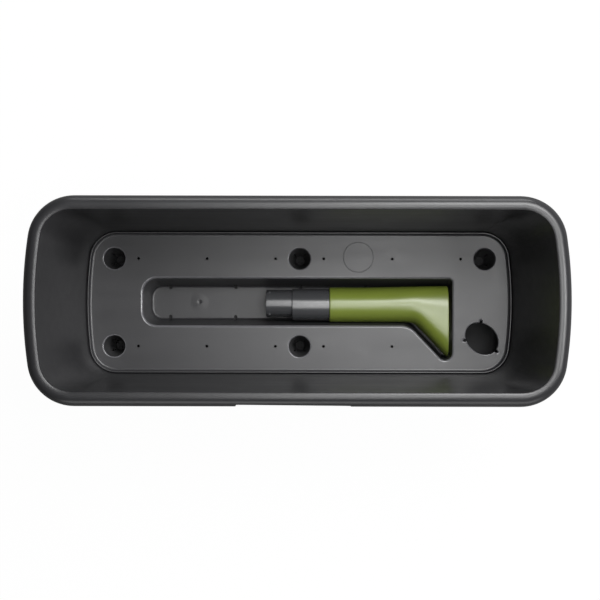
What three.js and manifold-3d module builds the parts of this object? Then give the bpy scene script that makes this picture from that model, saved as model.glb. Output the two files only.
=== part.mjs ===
// Self-watering planter trough: an outer trough, a loose insert over the water reservoir,
// a two-piece filler pipe stored in the insert, and a drain plug under it.
// Millimetres, +Z up, X along the trough, origin on the ground in the middle of the footprint.

import * as THREE from 'three';
import { mergeVertices } from 'three/addons/utils/BufferGeometryUtils.js';
import Module from 'manifold-3d';

const wasm = await Module();
wasm.setup();

// Trough
const LENGTH = 790;
const WIDTH = 304;
const HEIGHT = 295;
const WALL = 3;
const RIM_CORNER = 68; // corner radius of the rim in plan
const RIM_BOW = 650; // plan radius of the bowed ends
const RIM_WIDTH = 21.7;
const SKIRT_DEPTH = 47; // from the top of the rim to the lower edge of its skirt
const GROUND_GAP = 4; // underside of the floor above the ground
const FLOOR = 7; // top of the floor
const FOOT_WIDTH = 13; // flat ring that the trough stands on
const WALL_TOP = { z: 292.1, a: 373.3, b: 130.3, r: 46.3 }; // inner wall where it meets the rim
const WALL_LOW = { z: 83, a: 344, b: 114.8, r: 46 }; // inner wall at the insert's lip
const WALL_BOW = 620;
const LABEL_FLAT = { x0: -88.7, x1: 77, depth0: 3.3, depth1: 1.7 }; // bare flat on the front skirt
const DRAIN = { x: 150, y: 70, radius: 11 };
const OVERFLOW = { x: 200, z: 64, radius: 2.5 };

// Insert
const PLATE = 75; // top of the plate
const SHEET = 2.5; // thickness of the insert's wall
const LIP = { z: 83, a: 342.6, b: 113.6, r: 44 };
const LIP_BOW = 615;
const WELL = { pitchX: 300, y: 71, topRadius: 17.5, bottomRadius: 7.5, flare: 1.6 };
const WELL_PLACES = [[-1, 1], [0, 1], [1, 1], [-1, -1], [0, -1]]; // in pitches; the filler hole has the sixth place
const WELL_GAP = 0.3; // foot of a well above the trough's floor
const DRIP_X = [39, 150, 261];
const DRIP_RADIUS = 2;
const FILLER_HOLE = { x: 295.7, y: -57.9, long: 29, short: 23, turn: THREE.MathUtils.degToRad(-41) };
const KEY = { width: 4.2, depth: 4.8, angles: [0, 128, 232] }; // notches round the filler hole, in degrees
const COLLAR_DEPTH = 9;

// Storage recess of the insert: corners at the plate, with radii there and at the recess floor, and the draft of
// the wall that runs from each corner to the next
const RECESS_FLOOR = 12;
const RECESS = [
  { x: -256, y: -37.4, radius: 22, floorRadius: 13, draft: 11.4 },
  { x: 174.3, y: -37.4, radius: 32, floorRadius: 40, draft: 10 },
  { x: 248.6, y: -115.9, radius: 13, floorRadius: 7, draft: 2 },
  { x: 248.6, y: 39.2, radius: 6.5, floorRadius: 5, draft: 12 },
  { x: -256, y: 39.2, radius: 22, floorRadius: 13, draft: 12 },
];

// Drain slots along the two long edges of the recess floor, cut through the floor and the foot of the wall
const SLOT = { x: [-217, -108.1, 0.7, 109.6], width: 5.4, top: 20, edges: [[-28.4, -20.4], [22.6, 30.6]] };

// Filler pipe, lying along X in the recess; half widths across Y and half heights along Z
const PIPE_Y = -3.1;
const PIPE_Z = 45;
const PIPE_WALL = 2;
const TUBE = { start: -55, shoulder: -13, end: 90, footY: 22.4, footZ: 28, bodyY: 26.2, bodyZ: 30 };
const FOOT_Y = PIPE_Y + 2; // the foot stands off the middle of the tube
const LUG = { length: 4, width: 3.2, height: 1.6, setback: 6 };
const SPOUT = { start: 48.5, mouth: 242, halfY: 28.4, halfZ: 32.4, socketEnd: 92 };
const SPOUT_LOWER = [[48.5, -31.5], [120, -31.5], [174, -31.5], [184, -32.6], [193, -38.6], [217, -62.6], [242, -89]];
const SPOUT_UPPER = 28; // top edge of the mouth, a little above the socket's
const MOUTH_SQUARENESS = 3.4; // power of the mouth's rounded section; 2 is an ellipse
const SOCKET_GAP = 0.4;

// Drain plug
const PLUG = { flangeRadius: 17, flange: 3, stem: 5.2, headGap: 0.3, gripWidth: 20, gripHeight: 11, gripThick: 4 };

const ANTHRACITE = 0x4a4a4d;
const DARK_GREY = 0x3d3e41;
const GREEN = 0x7f9330;

// A closed body from shared points and triangles, turned so that its faces point out
function closedGeometry(points, triangles) {
  const volume = triangles.reduce((sum, [i, j, k]) => {
    const normal = new THREE.Vector3().crossVectors(points[j], points[k]);
    return sum + points[i].dot(normal);
  }, 0);
  const facing = volume < 0 ? triangles.map(([i, j, k]) => [i, k, j]) : triangles;
  const geometry = new THREE.BufferGeometry().setFromPoints(points);
  geometry.setIndex(facing.flat());
  return geometry;
}

// Two triangles for each side between neighbouring rings of equal length
function stripTriangles(count, from, to) {
  const triangles = [];
  for (let i = 0; i < count; i += 1) {
    const next = (i + 1) % count;
    triangles.push([from + i, from + next, to + next], [from + i, to + next, to + i]);
  }
  return triangles;
}

// Flat rings joined in order, the first and last closed by flat caps
function loft(rings) {
  const count = rings[0].length;
  const last = (rings.length - 1) * count;
  const triangles = [];
  for (let ring = 0; ring < rings.length - 1; ring += 1) {
    triangles.push(...stripTriangles(count, ring * count, (ring + 1) * count));
  }
  const cap = (ring) => THREE.ShapeUtils.triangulateShape(ring.map(({ x, y }) => new THREE.Vector2(x, y)), []);
  triangles.push(...cap(rings[0]).map(([i, j, k]) => [i, k, j]));
  triangles.push(...cap(rings[rings.length - 1]).map((corner) => corner.map((i) => i + last)));
  return closedGeometry(rings.flat(), triangles);
}

// Rings joined in order and the last one to the first: the wall of an open pipe
function pipeWall(rings) {
  const count = rings[0].length;
  const triangles = rings.flatMap((_, ring) => {
    const next = (ring + 1) % rings.length;
    return stripTriangles(count, ring * count, next * count);
  });
  return closedGeometry(rings.flat(), triangles);
}

function solid(geometry) {
  const bare = geometry.clone();
  bare.deleteAttribute('normal');
  bare.deleteAttribute('uv');
  const merged = mergeVertices(bare);
  const vertProperties = new Float32Array(merged.attributes.position.array);
  const triVerts = new Uint32Array(merged.index.array);
  return new wasm.Manifold(new wasm.Mesh({ numProp: 3, vertProperties, triVerts }));
}

function piece(name, body, color, roughness) {
  const { vertProperties, triVerts } = body.getMesh();
  const geometry = new THREE.BufferGeometry();
  geometry.setAttribute('position', new THREE.BufferAttribute(new Float32Array(vertProperties), 3));
  geometry.setIndex(new THREE.BufferAttribute(new Uint32Array(triVerts), 1));
  geometry.computeVertexNormals();
  const mesh = new THREE.Mesh(geometry, new THREE.MeshStandardMaterial({ color, roughness, metalness: 0 }));
  mesh.name = name;
  return mesh;
}

// Upright cone or cylinder between two heights
function upright(x, y, low, high, lowRadius, highRadius, sides) {
  const geometry = new THREE.CylinderGeometry(highRadius, lowRadius, high - low, sides);
  geometry.rotateX(Math.PI / 2);
  geometry.translate(x, y, (low + high) / 2);
  return solid(geometry);
}

function block(x, y, low, high, sizeX, sizeY, turn = 0) {
  const geometry = new THREE.BoxGeometry(sizeX, sizeY, high - low);
  geometry.rotateZ(turn);
  geometry.translate(x, y, (low + high) / 2);
  return solid(geometry);
}

// Plan of the trough and the insert: straight sides at b, bowed ends reaching a, corners of radius r.
// Each end is an arc of radius bow, and each corner arc touches it and the straight side.
const END_STEPS = 3;
const CORNER_STEPS = 7;
function planRing({ a, b, r, bow, z }, sideX = []) {
  const endCentre = a - bow;
  const cornerY = b - r;
  const cornerX = endCentre + Math.sqrt((bow - r) ** 2 - cornerY ** 2);
  const joint = Math.atan2(cornerY, cornerX - endCentre);
  const quarter = [];
  for (let i = 0; i <= END_STEPS; i += 1) {
    const angle = (joint * i) / END_STEPS;
    quarter.push([endCentre + bow * Math.cos(angle), bow * Math.sin(angle)]);
  }
  for (let i = 1; i <= CORNER_STEPS; i += 1) {
    const angle = joint + ((Math.PI / 2 - joint) * i) / CORNER_STEPS;
    quarter.push([cornerX + r * Math.cos(angle), cornerY + r * Math.sin(angle)]);
  }
  const mirrored = (signX, signY) => quarter.map(([x, y]) => [signX * x, signY * y]);
  const side = (sign) => sideX.map((x) => [x, sign * b]);
  const ring = [
    ...mirrored(1, 1),
    ...side(1).reverse(),
    ...mirrored(-1, 1).reverse(),
    ...mirrored(-1, -1).slice(1),
    ...side(-1),
    ...mirrored(1, -1).reverse().slice(0, -1),
  ];
  return ring.map(([x, y]) => new THREE.Vector3(x, y, z));
}

// Inner wall of the trough, in a straight taper through its two known heights
function wallPlan(z, inset = 0) {
  const up = (z - WALL_LOW.z) / (WALL_TOP.z - WALL_LOW.z);
  const at = (key) => THREE.MathUtils.lerp(WALL_LOW[key], WALL_TOP[key], up) - inset;
  return { a: at('a'), b: at('b'), r: at('r'), bow: WALL_BOW - inset, z };
}

function rimPlan([inset, drop]) {
  return {
    a: LENGTH / 2 - inset,
    b: WIDTH / 2 - inset,
    r: RIM_CORNER - inset,
    bow: RIM_BOW - inset,
    z: HEIGHT - drop,
  };
}

// The front skirt is pressed in by a flat that slants in plan
const FLAT_STEP = 0.4;
function pressLabelFlat(ring, skin) {
  const { x0, x1, depth0, depth1 } = LABEL_FLAT;
  return ring.map((point) => {
    if (point.x < x0 - skin || point.x > x1 + skin) return point;
    const depth = THREE.MathUtils.mapLinear(point.x, x0, x1, depth0, depth1);
    const flatY = -WIDTH / 2 + depth + skin;
    return new THREE.Vector3(point.x, Math.max(point.y, flatY), point.z);
  });
}

function makeTrough() {
  const sideX = (skin) => {
    const left = LABEL_FLAT.x0 - skin;
    const right = LABEL_FLAT.x1 + skin;
    return [left - FLAT_STEP, left, right, right + FLAT_STEP];
  };
  const skinRing = (plan, skin = 0) => pressLabelFlat(planRing(plan, sideX(skin)), skin);

  // Rim and skirt in section, as [inset from the outermost edge, drop from the top]
  const rimChannel = [[19.3, 9.5], [17.6, 5.4], [14.6, 3.5], [12.4, 3.2], [9.2, 4.1]];
  const rimUnder = [...rimChannel, [6, 7.4], [3.8, 12.5], [3, 19], [4.2, SKIRT_DEPTH]];
  const rimOuter = [[1.2, SKIRT_DEPTH], [0, 19], [1, 12.5], [3.7, 6.8], [7.4, 2.9], [11.6, 0.7], [15.7, 0]];
  const rimInner = [[20.3, 0.8], [21.3, 1.6], [RIM_WIDTH, 2.9]];

  const outside = -WALL; // inset of the outer face from the inner one
  const rings = [
    skinRing({ ...wallPlan(FLOOR, 20), z: GROUND_GAP }),
    skinRing({ ...wallPlan(FLOOR, 4 + FOOT_WIDTH), z: 0 }),
    skinRing({ ...wallPlan(FLOOR, 4), z: 0 }),
    skinRing({ ...wallPlan(FLOOR, -1), z: 2 }),
    skinRing(wallPlan(9, outside)),
    skinRing(wallPlan(HEIGHT / 2, outside)),
    ...rimUnder.map((point) => skinRing(rimPlan(point), WALL)),
    ...[...rimOuter, ...rimInner].map((point) => skinRing(rimPlan(point))),
    skinRing(wallPlan(HEIGHT / 2)),
    skinRing(wallPlan(17)),
    skinRing({ ...wallPlan(17, 2), z: 10.5 }),
    skinRing({ ...wallPlan(17, 8), z: FLOOR }),
  ];
  let trough = solid(loft(rings));

  trough = trough.subtract(upright(DRAIN.x, DRAIN.y, GROUND_GAP - 1, FLOOR + 1, DRAIN.radius, DRAIN.radius, 28));
  const wallY = wallPlan(OVERFLOW.z).b;
  for (const x of [-OVERFLOW.x, OVERFLOW.x]) {
    const drill = new THREE.CylinderGeometry(OVERFLOW.radius, OVERFLOW.radius, 6 * WALL, 12);
    drill.translate(x, wallY, OVERFLOW.z);
    trough = trough.subtract(solid(drill));
  }
  return piece('trough', trough, ANTHRACITE, 0.42);
}

// Corners of a closed outline after each side has moved inwards by its own distance (negative moves outwards)
function movedCorners(corners, distances) {
  const count = corners.length;
  const side = (i) => {
    const from = corners[i];
    const to = corners[(i + 1) % count];
    const along = new THREE.Vector2(to.x - from.x, to.y - from.y).normalize();
    const inward = new THREE.Vector2(-along.y, along.x);
    return { along, start: new THREE.Vector2(from.x, from.y).addScaledVector(inward, distances[i]) };
  };
  return corners.map((_, i) => {
    const before = side((i + count - 1) % count);
    const after = side(i);
    const between = after.start.clone().sub(before.start);
    const reach = between.cross(after.along) / before.along.cross(after.along);
    return before.start.clone().addScaledVector(before.along, reach);
  });
}

// Outline with every corner rounded by an arc of its own radius
const FILLET_STEPS = 6;
function filletedRing(corners, radii, z) {
  const count = corners.length;
  return corners.flatMap((corner, i) => {
    const toBefore = corners[(i + count - 1) % count].clone().sub(corner).normalize();
    const toAfter = corners[(i + 1) % count].clone().sub(corner).normalize();
    const half = Math.acos(toBefore.dot(toAfter)) / 2;
    const bisector = toBefore.clone().add(toAfter).normalize();
    const centre = corner.clone().addScaledVector(bisector, radii[i] / Math.sin(half));
    const foot = (direction) => corner.clone().addScaledVector(direction, radii[i] / Math.tan(half));
    const first = foot(toBefore).sub(centre).angle();
    let sweep = foot(toAfter).sub(centre).angle() - first;
    sweep -= 2 * Math.PI * Math.round(sweep / (2 * Math.PI));
    return Array.from({ length: FILLET_STEPS + 1 }, (_, step) => {
      const angle = first + (sweep * step) / FILLET_STEPS;
      return new THREE.Vector3(centre.x + radii[i] * Math.cos(angle), centre.y + radii[i] * Math.sin(angle), z);
    });
  });
}

// Recess outline at a share of its depth, grown outwards by a margin
function recessRing(share, margin, z) {
  const corners = movedCorners(RECESS, RECESS.map(({ draft }) => draft * share - margin));
  const radii = RECESS.map(({ radius, floorRadius }, i) => {
    const grow = isHollowCorner(i) ? -margin : margin;
    return Math.max(THREE.MathUtils.lerp(radius, floorRadius, share) + grow, 1);
  });
  return filletedRing(corners, radii, z);
}

// True where the outline turns the other way, at the start of the slanted wall
function isHollowCorner(i) {
  const count = RECESS.length;
  const before = RECESS[(i + count - 1) % count];
  const corner = RECESS[i];
  const after = RECESS[(i + 1) % count];
  const turn = (corner.x - before.x) * (after.y - corner.y) - (corner.y - before.y) * (after.x - corner.x);
  return turn < 0;
}

function makeTray() {
  const lip = (inset, z) => planRing({ a: LIP.a - inset, b: LIP.b - inset, r: LIP.r - inset, bow: LIP_BOW - inset, z });
  const rings = [
    lip(5, PLATE - SHEET),
    lip(1.6, PLATE - SHEET + 1.5),
    lip(0, LIP.z - 0.5),
    lip(0.5, LIP.z),
    lip(SHEET - 0.5, LIP.z),
    lip(SHEET + 1, PLATE + 4),
    lip(SHEET + 2.2, PLATE + 1.5),
    lip(SHEET + 5, PLATE),
  ];
  return solid(loft(rings));
}

// Elliptical cutter for the filler hole, with its key notches
function fillerCutter(grow, low, high) {
  const { x, y, long, short, turn } = FILLER_HOLE;
  const shape = new THREE.Shape();
  shape.absellipse(0, 0, long + grow, short + grow, 0, 2 * Math.PI, false, turn);
  const geometry = new THREE.ExtrudeGeometry(shape, { depth: high - low, bevelEnabled: false, curveSegments: 36 });
  geometry.translate(x, y, low);
  return solid(geometry);
}

function ellipsePoint(angleDegrees, outwards) {
  const angle = THREE.MathUtils.degToRad(angleDegrees);
  const local = new THREE.Vector2(FILLER_HOLE.long * Math.cos(angle), FILLER_HOLE.short * Math.sin(angle));
  const normal = new THREE.Vector2(FILLER_HOLE.short * Math.cos(angle), FILLER_HOLE.long * Math.sin(angle)).normalize();
  const place = local.addScaledVector(normal, outwards).rotateAround(new THREE.Vector2(), FILLER_HOLE.turn);
  return { place, turn: normal.angle() + FILLER_HOLE.turn };
}

function makeInsert() {
  const foot = FLOOR + WELL_GAP;
  const wells = WELL_PLACES.map(([column, row]) => ({ x: column * WELL.pitchX, y: row * WELL.y }));
  const { topRadius, bottomRadius, flare } = WELL;

  let insert = makeTray();
  insert = insert.add(solid(loft([
    recessRing(1, SHEET, RECESS_FLOOR - SHEET),
    recessRing(0.85, SHEET, RECESS_FLOOR + 1),
    recessRing(0, SHEET, PLATE - SHEET / 2),
  ])));
  insert = insert.add(fillerCutter(SHEET, PLATE - COLLAR_DEPTH, PLATE - SHEET / 2));
  for (const { x, y } of wells) {
    insert = insert.add(upright(x, y, foot, PLATE - SHEET / 2, bottomRadius + SHEET, topRadius + SHEET, 24));
  }

  insert = insert.subtract(solid(loft([
    recessRing(1, 0, RECESS_FLOOR),
    recessRing(0.85, 0, RECESS_FLOOR + 3.5),
    recessRing(0.08, 0, PLATE - 2),
    recessRing(0, 0, PLATE - 0.4),
    recessRing(0, 1, PLATE + 1),
  ])));
  for (const [from, to] of SLOT.edges) {
    for (const x of SLOT.x) {
      const cut = block(x, (from + to) / 2, RECESS_FLOOR - SHEET - 1, SLOT.top, SLOT.width, to - from);
      insert = insert.subtract(cut);
    }
  }
  insert = insert.subtract(fillerCutter(0, PLATE - COLLAR_DEPTH - 1, PLATE + 1));
  for (const angle of KEY.angles) {
    const { place, turn } = ellipsePoint(angle, KEY.depth / 2 - 0.5);
    const x = FILLER_HOLE.x + place.x;
    const y = FILLER_HOLE.y + place.y;
    insert = insert.subtract(block(x, y, PLATE - COLLAR_DEPTH - 1, PLATE + 1, KEY.depth + 1, KEY.width, turn));
  }

  const drain = { offset: 3.2, size: 4, slotWidth: 2.2, slotLow: 18, slotHigh: 44 };
  for (const { x, y } of wells) {
    insert = insert.subtract(upright(x, y, foot + SHEET, PLATE + 0.5, bottomRadius, topRadius, 24));
    insert = insert.subtract(upright(x, y, PLATE - 1.5, PLATE + 0.1, topRadius - 0.3, topRadius + flare, 24));
    for (const [sideX, sideY] of [[1, 1], [-1, 1], [-1, -1], [1, -1]]) {
      const holeX = x + sideX * drain.offset;
      const holeY = y + sideY * drain.offset;
      insert = insert.subtract(block(holeX, holeY, foot - 1, foot + SHEET + 1, drain.size, drain.size));
    }
    for (const turn of [Math.PI / 4, -Math.PI / 4]) {
      insert = insert.subtract(block(x, y, drain.slotLow, drain.slotHigh, 4 * topRadius, drain.slotWidth, turn));
    }
  }
  for (const x of DRIP_X.flatMap((value) => [-value, value])) {
    for (const y of [-WELL.y, WELL.y]) {
      const underFiller = y < 0 && x === DRIP_X[2];
      if (underFiller) continue;
      insert = insert.subtract(upright(x, y, PLATE - SHEET - 1, PLATE + 1, DRIP_RADIUS, DRIP_RADIUS, 10));
    }
  }
  return piece('insert', insert, ANTHRACITE, 0.5);
}

// Section across X: an ellipse, or a squarer oval for a power above 2
const SECTION_STEPS = 32;
function sectionRing(x, centreY, halfY, halfZ, power = 2) {
  const rounded = (value) => Math.sign(value) * Math.abs(value) ** (2 / power);
  return Array.from({ length: SECTION_STEPS }, (_, i) => {
    const angle = (2 * Math.PI * i) / SECTION_STEPS;
    return new THREE.Vector3(x, centreY + halfY * rounded(Math.cos(angle)), PIPE_Z + halfZ * rounded(Math.sin(angle)));
  });
}

function makeFillTube() {
  const { start, shoulder, end, footY, footZ, bodyY, bodyZ } = TUBE;
  const ring = (x, halfY, halfZ) => sectionRing(x, x > shoulder + 0.5 ? PIPE_Y : FOOT_Y, halfY, halfZ);
  const outer = [
    ring(start, footY - 0.8, footZ - 0.8),
    ring(start + 1.2, footY, footZ),
    ring(shoulder, footY, footZ),
    ring(shoulder + 1, bodyY, bodyZ),
    ring(end, bodyY, bodyZ),
  ];
  const inner = [
    ring(end, bodyY - PIPE_WALL, bodyZ - PIPE_WALL),
    ring(shoulder + 4, bodyY - PIPE_WALL, bodyZ - PIPE_WALL),
    ring(shoulder + 0.5, footY - PIPE_WALL, footZ - PIPE_WALL),
    ring(start, footY - PIPE_WALL, footZ - PIPE_WALL),
  ];
  let tube = solid(pipeWall([...outer, ...inner]));
  for (const degrees of KEY.angles) {
    const angle = THREE.MathUtils.degToRad(degrees);
    const lug = new THREE.BoxGeometry(LUG.length, LUG.width, LUG.height + PIPE_WALL / 2);
    const normal = Math.atan2(Math.sin(angle) / footY, Math.cos(angle) / footZ);
    lug.translate(0, 0, (LUG.height - PIPE_WALL / 2) / 2);
    lug.rotateX(normal + Math.PI);
    lug.translate(start + LUG.setback, FOOT_Y + footY * Math.sin(angle), PIPE_Z - footZ * Math.cos(angle));
    tube = tube.add(solid(lug));
  }
  return piece('fill_tube', tube, DARK_GREY, 0.4);
}

function makeFillSpout() {
  const { start, mouth, halfY, halfZ, socketEnd } = SPOUT;
  const lowerEdge = new THREE.SplineCurve(SPOUT_LOWER.map(([x, y]) => new THREE.Vector2(x, y)));
  const stations = 18;
  const section = (share, inset) => {
    const { x, y: low } = lowerEdge.getPoint(share);
    const flare = THREE.MathUtils.smoothstep(x, socketEnd, mouth);
    const high = THREE.MathUtils.lerp(PIPE_Y + halfY, SPOUT_UPPER, flare);
    const power = THREE.MathUtils.lerp(2, MOUTH_SQUARENESS, flare ** 3);
    return sectionRing(x, (low + high) / 2, (high - low) / 2 - inset, halfZ - inset, power);
  };
  const outer = Array.from({ length: stations + 1 }, (_, i) => section(i / stations, 0));
  const bore = outer.map((_, i) => section(1 - i / stations, PIPE_WALL));
  const socketY = TUBE.bodyY + SOCKET_GAP;
  const socketZ = TUBE.bodyZ + SOCKET_GAP;
  const pastSocket = bore.filter((ring) => ring[0].x > socketEnd + 4);
  const socket = [sectionRing(socketEnd, PIPE_Y, socketY, socketZ), sectionRing(start, PIPE_Y, socketY, socketZ)];
  const spout = solid(pipeWall([...outer, ...pastSocket, ...socket]));
  return piece('fill_spout', spout, GREEN, 0.35);
}

function makeDrainPlug() {
  const { x, y, radius } = DRAIN;
  const flangeLow = FLOOR + PLUG.headGap;
  const flangeHigh = flangeLow + PLUG.flange;
  const stemRadius = radius - 0.4;
  let plug = upright(x, y, flangeLow, flangeHigh, PLUG.flangeRadius, PLUG.flangeRadius - 1, 32);
  plug = plug.add(upright(x, y, flangeLow - PLUG.stem, flangeLow + 1, stemRadius - 1.2, stemRadius, 28));
  plug = plug.add(block(x, y, flangeHigh - 1, flangeHigh + PLUG.gripHeight, PLUG.gripWidth, PLUG.gripThick));
  return piece('drain_plug', plug, DARK_GREY, 0.55);
}

const planter = new THREE.Group();
planter.name = 'planter_trough';
planter.add(makeTrough(), makeInsert(), makeFillTube(), makeFillSpout(), makeDrainPlug());

export default planter;
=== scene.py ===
"""Finished surfaces, plastics and studio of a self-watering planter trough.

Laid out as an add-on and run as a script. Every surface is worked out in metres in the axes of the
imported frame, and stands for the node that it covers.
"""

import bmesh
import bpy
import numpy as np
from bpy.props import FloatProperty, FloatVectorProperty, PointerProperty
from bpy.types import Operator, Panel, PropertyGroup
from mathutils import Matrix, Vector
from mathutils.geometry import delaunay_2d_cdt


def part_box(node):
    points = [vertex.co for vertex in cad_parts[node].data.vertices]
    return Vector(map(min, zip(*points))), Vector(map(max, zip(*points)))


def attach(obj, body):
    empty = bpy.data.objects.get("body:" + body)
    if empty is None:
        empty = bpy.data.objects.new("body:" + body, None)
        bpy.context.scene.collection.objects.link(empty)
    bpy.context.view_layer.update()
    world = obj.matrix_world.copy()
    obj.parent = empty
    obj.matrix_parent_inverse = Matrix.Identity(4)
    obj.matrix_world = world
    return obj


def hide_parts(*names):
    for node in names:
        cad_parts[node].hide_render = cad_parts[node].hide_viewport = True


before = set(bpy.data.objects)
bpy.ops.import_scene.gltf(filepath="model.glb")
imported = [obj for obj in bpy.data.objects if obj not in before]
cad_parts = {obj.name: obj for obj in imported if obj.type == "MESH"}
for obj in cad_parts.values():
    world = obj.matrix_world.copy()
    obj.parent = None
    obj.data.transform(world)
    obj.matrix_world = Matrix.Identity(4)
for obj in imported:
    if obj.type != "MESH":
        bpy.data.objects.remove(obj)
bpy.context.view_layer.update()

bl_info = {
    "name": "Planter trough",
    "version": (1, 0, 0),
    "blender": (4, 5, 0),
    "location": "View3D > Sidebar > Planter",
    "description": "Self-watering planter trough with its insert and filler pipe",
    "category": "Add Mesh",
}

# Lengths are metres, written as millimetres times MM; plain angles are degrees
MM = 0.001

_, TROUGH_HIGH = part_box("trough")
INSERT_LOW, INSERT_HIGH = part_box("insert")
TUBE_LOW, TUBE_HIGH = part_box("fill_tube")
SPOUT_LOW, SPOUT_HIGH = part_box("fill_spout")
PLUG_LOW, PLUG_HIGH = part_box("drain_plug")

# Trough: its inner wall at the insert's lip, as reach, half width, corner radius and bow radius
LIP_LEVEL = 83 * MM
WALL_AT_LIP = np.array((344, 114.8, 46, 620)) * MM
CROWN_INSET = 15.7 * MM
CROWN_END = 17
CROWN_POWER = 2.1
CROWN_STEPS = 32
INNER_EDGE = 2.2 * MM
INNER_EDGE_START = -69.6
CHANNEL_INSET = 12.4 * MM
CHANNEL_DROP = 9.5 * MM
CHANNEL_TOP = 3.2 * MM
CHANNEL_WALL = 2.4 * MM
WALL_DROP = 2.9 * MM
SKIRT_SHOULDER = 23 * MM
SKIRT_DRAFT = 1.2 * MM
WALL_LEVELS = np.array((31.5, 54, 74, 102, 130, 158, 186, 214, 242, 270)) * MM
WALL_PLACES = np.arange(-270, 271, 30) * MM
WALL_FOOT = 24 * MM
FLOOR_FILLET = np.array((8, 17)) * MM
LABEL_ENDS = np.array((-88.7, 77)) * MM
LABEL_DEPTHS = np.array((3.3, 1.7)) * MM
LABEL_STEP = 1.2 * MM
LABEL_STEP_PLACES = np.linspace(-0.75, 0.75, 7) * LABEL_STEP
FOOT_INSETS = np.array((20, 17, 4)) * MM
FOOT_BEVEL = np.array((1, 0.4)) * MM
FOOT_ROUND = 9 * MM
OVERFLOW_X = 200 * MM
OVERFLOW_Z = 64 * MM
OVERFLOW_RADIUS = 2.5 * MM
OVERFLOW_PATCH = 10 * MM
OVERFLOW_STEPS = 24
DRAIN_PLACE = ((PLUG_LOW.x + PLUG_HIGH.x) / 2, (PLUG_LOW.y + PLUG_HIGH.y) / 2)
DRAIN_RADIUS = 11 * MM
DRAIN_STEPS = 40

# Insert: its lip
LIP_CORNER = 44 * MM
LIP_BOW = 615 * MM
LIP_PLACES = np.arange(-270, 271, 45) * MM
LIP_WIDTH = 2.2 * MM
LIP_SETBACK = 0.1 * MM
LIP_ROUND = 0.7 * MM
LIP_FOOT_INSET = 5 * MM
LIP_FOOT_RADII = np.array((3.9, 4)) * MM
LIP_FILLET_INSET = 6.4 * MM
LIP_FILLET = 4 * MM

# Storage recess: its corners at the plate, anticlockwise, and what belongs to each corner or to the side
# that starts there
RECESS_CORNERS = np.array(
    ((-254.1, -37.4), (178.1, -37.4), (247.8, -111), (247.8, 39.2), (-254.1, 39.2))
) * MM
RECESS_RADII = np.array((23, 33, 12, 5.5, 23)) * MM
RECESS_FLOOR_RADII = np.array((18.5, 39.3, 7.5, 5.05, 18.5)) * MM
RECESS_DRAFTS = np.array((9.9, 6.3, 1.44, 11.34, 5.94)) * MM
RECESS_LEVELS = 4
RECESS_EDGE = 3.5 * MM
RECESS_FILLET = 3.5 * MM
SLOT_X = np.array((-217, -108.1, 0.7, 109.6)) * MM
SLOT_HALF_WIDTH = 2.7 * MM
SLOT_ROUND = 2 * MM
SLOT_ENDS = np.array((-20.4, 22.6)) * MM
SLOT_TOP = 20 * MM
SLOT_STEPS = 10
GATE_PLACE = np.array((-168.5, 1.8)) * MM
GATE_RADIUS = 17 * MM
GATE_RISE = 0.4 * MM
GATE_DIMPLE = 2.4 * MM
GATE_DIP = 1.3 * MM
GATE_CROWDING = 1.4
GATE_ROWS = 25
GATE_STEPS = 36

# Wick wells, drip holes, filler hole and stamp in the insert's plate
WELL_PLACES = np.array(((-300, 71), (0, 71), (300, 71), (-300, -71), (0, -71))) * MM
WELL_EDGE = 2.2 * MM
WELL_SLOT_LOW = 18 * MM
WELL_SLOT_HIGH = 44 * MM
WELL_SLOT_HALF_TURN = 5.5
WELL_LEVELS = np.array((60 * MM, WELL_SLOT_HIGH, 31 * MM, WELL_SLOT_LOW))
WELL_TURNS = np.linspace(14, 76, 8)
WELL_HOLE_OFFSET = 3.1 * MM
WELL_HOLE_HALF = 1.9 * MM
WELL_HOLE_STEPS = 20
DRIP_X = np.array((-261, -150, -39, 39, 150, 261)) * MM
DRIP_Y = 71 * MM
DRIP_STEPS = 16
FILLER_PLACE = np.array((295.7, -57.9)) * MM
FILLER_HALVES = np.array((29, 23)) * MM
FILLER_TURN = -41
KEY_ANGLES = (0, 128, 232)
KEY_HALF_WIDTH = 2.1 * MM
KEY_DEPTH = 4.8 * MM
KEY_TIP_TURNS = np.radians(np.linspace(-90, 90, 9))
KEY_SPAN_STEPS = 24
COLLAR_DEPTH = 9 * MM
FILLER_EDGE = 1.8 * MM
STAMP_PLACE = np.array((95.3, 73.7)) * MM
STAMP_RADIUS = 24.3 * MM
STAMP_RELIEF = np.array((0.7, 0.35)) * MM
STAMP_STEPS = 72

# Filler pipe, lying along X
PIPE_Y = (TUBE_LOW.y + TUBE_HIGH.y) / 2
FOOT_SHIFT = 2 * MM
PIPE_Z = (SPOUT_LOW.z + SPOUT_HIGH.z) / 2
TUBE_BODY = np.array(((TUBE_HIGH.y - TUBE_LOW.y) / 2, TUBE_HIGH.z - PIPE_Z))
TUBE_FOOT = np.array((22.4, 28)) * MM
TUBE_SHOULDER = -13 * MM
SHOULDER_LENGTH = 1.6 * MM
BORE_SHOULDER_SHIFT = 1.2 * MM
BORE_SHOULDER_LENGTH = 2.4 * MM
SHOULDER_RISE = np.linspace(0, 1, 7)
LUG_SETBACK = 6 * MM
LUG_HALF_LENGTH = 2 * MM
LUG_HALF_WIDTH = 1.6 * MM
LUG_RISES = np.array((-0.8, -0.8, 0, 0.96, 1.408, 1.6, 1.6)) * MM
LUG_SHARES = np.array((0, 0.8, 0.95, 1, 0.97, 0.8, 0))
LUG_STEPS = 24
SOCKET_END = 92 * MM
SOCKET_GAP = 0.4 * MM
SOCKET_STOP = 0.2 * MM
SOCKET_BEVEL = np.array((1, 0.3)) * MM
BORE_START = 5 * MM
BORE_ROWS = 40
SPOUT_ROWS = 60
SPOUT_HALF_Y = 28.4 * MM
FLARE_START = 187.5 * MM
FLARE_SOFTNESS = 3.5 * MM

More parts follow.
